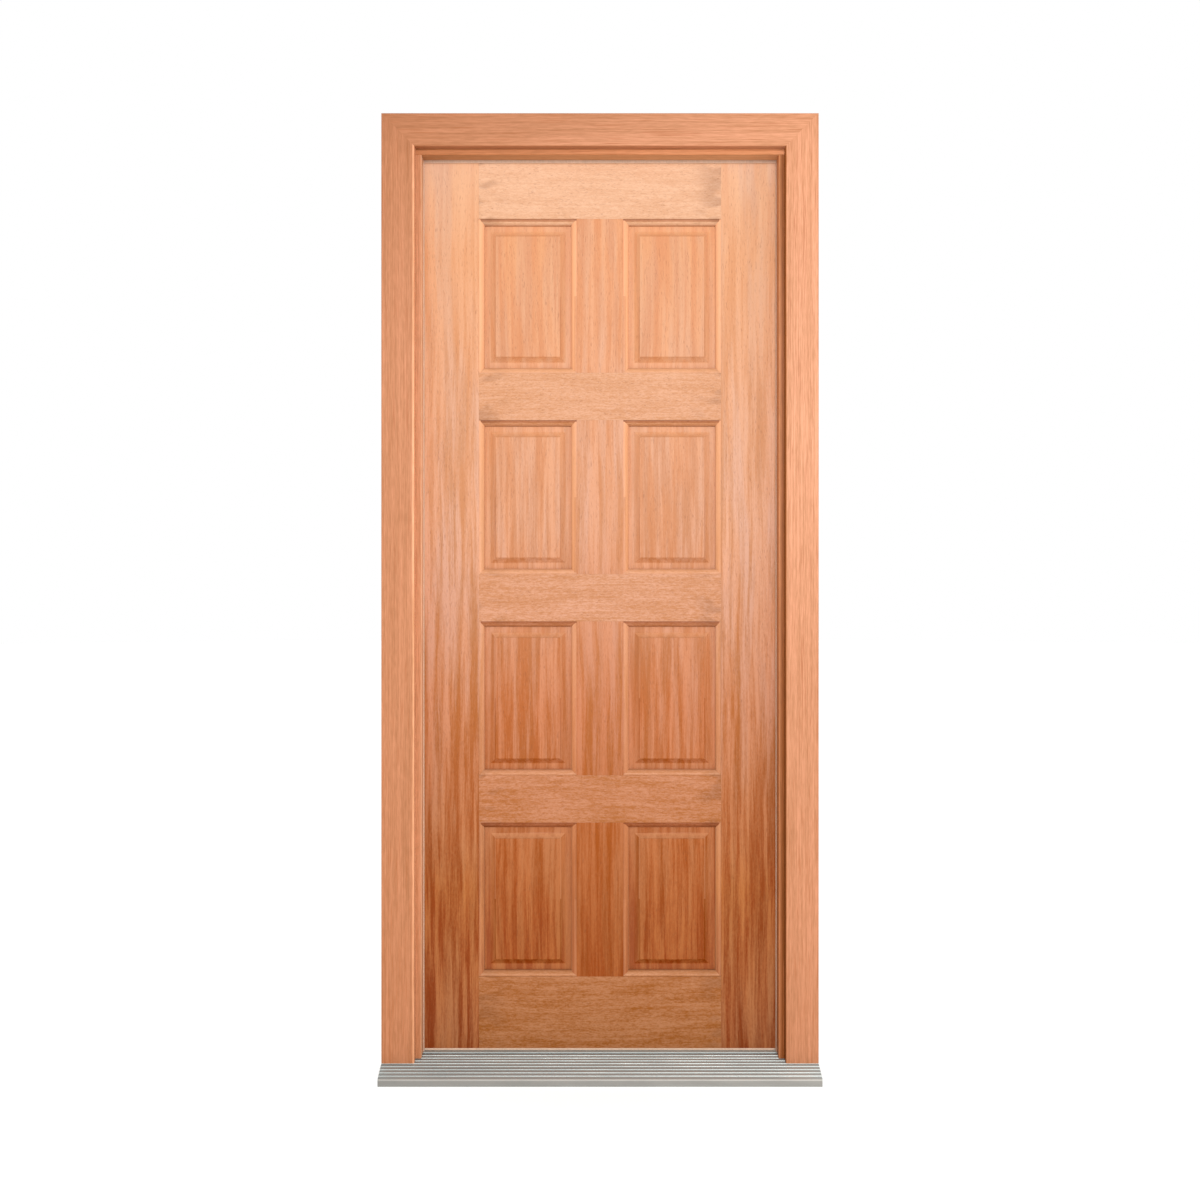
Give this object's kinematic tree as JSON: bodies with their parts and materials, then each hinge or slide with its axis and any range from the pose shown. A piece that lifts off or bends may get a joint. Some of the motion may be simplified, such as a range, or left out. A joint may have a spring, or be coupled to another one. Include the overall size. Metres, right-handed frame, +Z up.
{
  "type": "panelled front door with its frame",
  "caption": "Inward-opening hardwood front door leaf with rows of raised and fielded panels, hung on butt hinges in a rebated frame with mitred casings, seals and a ribbed aluminium sill.",
  "frame": {"origin": "on the ground under the sill, midway between the jambs, in line with the wall face that the casings lie on, at the middle of the sill's middle foot", "axes": "+Z up the door, +Y from outside inwards through the doorway, +X to the right as seen from outside"},
  "size_m": [0.953, 0.1525, 2.103],
  "materials": {
    "leaf_wood": "lacquered straight-grained tropical hardwood",
    "frame_wood": "lacquered straight-grained tropical hardwood",
    "sill_aluminium": "mill-finish extrusion",
    "seal": "matt pale grey",
    "hinge_steel": "satin"
  },
  "bodies": {
    "frame": {"head": "frame_wood", "head_casing": "frame_wood", "head_seal": "seal", "hinge_jamb": "frame_wood", "hinge_side_casing": "frame_wood", "hinge_side_seal": "seal", "lock_jamb": "frame_wood", "lock_side_casing": "frame_wood", "lock_side_seal": "seal", "lower_hinge_pin": "hinge_steel", "lower_jamb_flap": "hinge_steel", "middle_hinge_pin": "hinge_steel", "middle_jamb_flap": "hinge_steel", "sill": "sill_aluminium", "upper_hinge_pin": "hinge_steel", "upper_jamb_flap": "hinge_steel"},
    "leaf": {"bottom_hinge_side_panel": "leaf_wood", "bottom_lock_side_panel": "leaf_wood", "bottom_muntin": "leaf_wood", "bottom_rail": "leaf_wood", "foot_seal": "seal", "hinge_stile": "leaf_wood", "lock_stile": "leaf_wood", "lower_hinge_side_panel": "leaf_wood", "lower_leaf_flap": "hinge_steel", "lower_lock_side_panel": "leaf_wood", "lower_muntin": "leaf_wood", "lower_rail": "leaf_wood", "middle_leaf_flap": "hinge_steel", "middle_rail": "leaf_wood", "top_hinge_side_panel": "leaf_wood", "top_lock_side_panel": "leaf_wood", "top_muntin": "leaf_wood", "top_rail": "leaf_wood", "upper_hinge_side_panel": "leaf_wood", "upper_leaf_flap": "hinge_steel", "upper_lock_side_panel": "leaf_wood", "upper_muntin": "leaf_wood", "upper_rail": "leaf_wood"}
  },
  "joints": [
    {"name": "leaf_swing", "type": "hinge", "parent": "frame", "child": "leaf", "pos_m": [-0.4065, 0.084, 1], "axis": [0, 0, 1], "range_deg": [0, 170]}
  ]
}
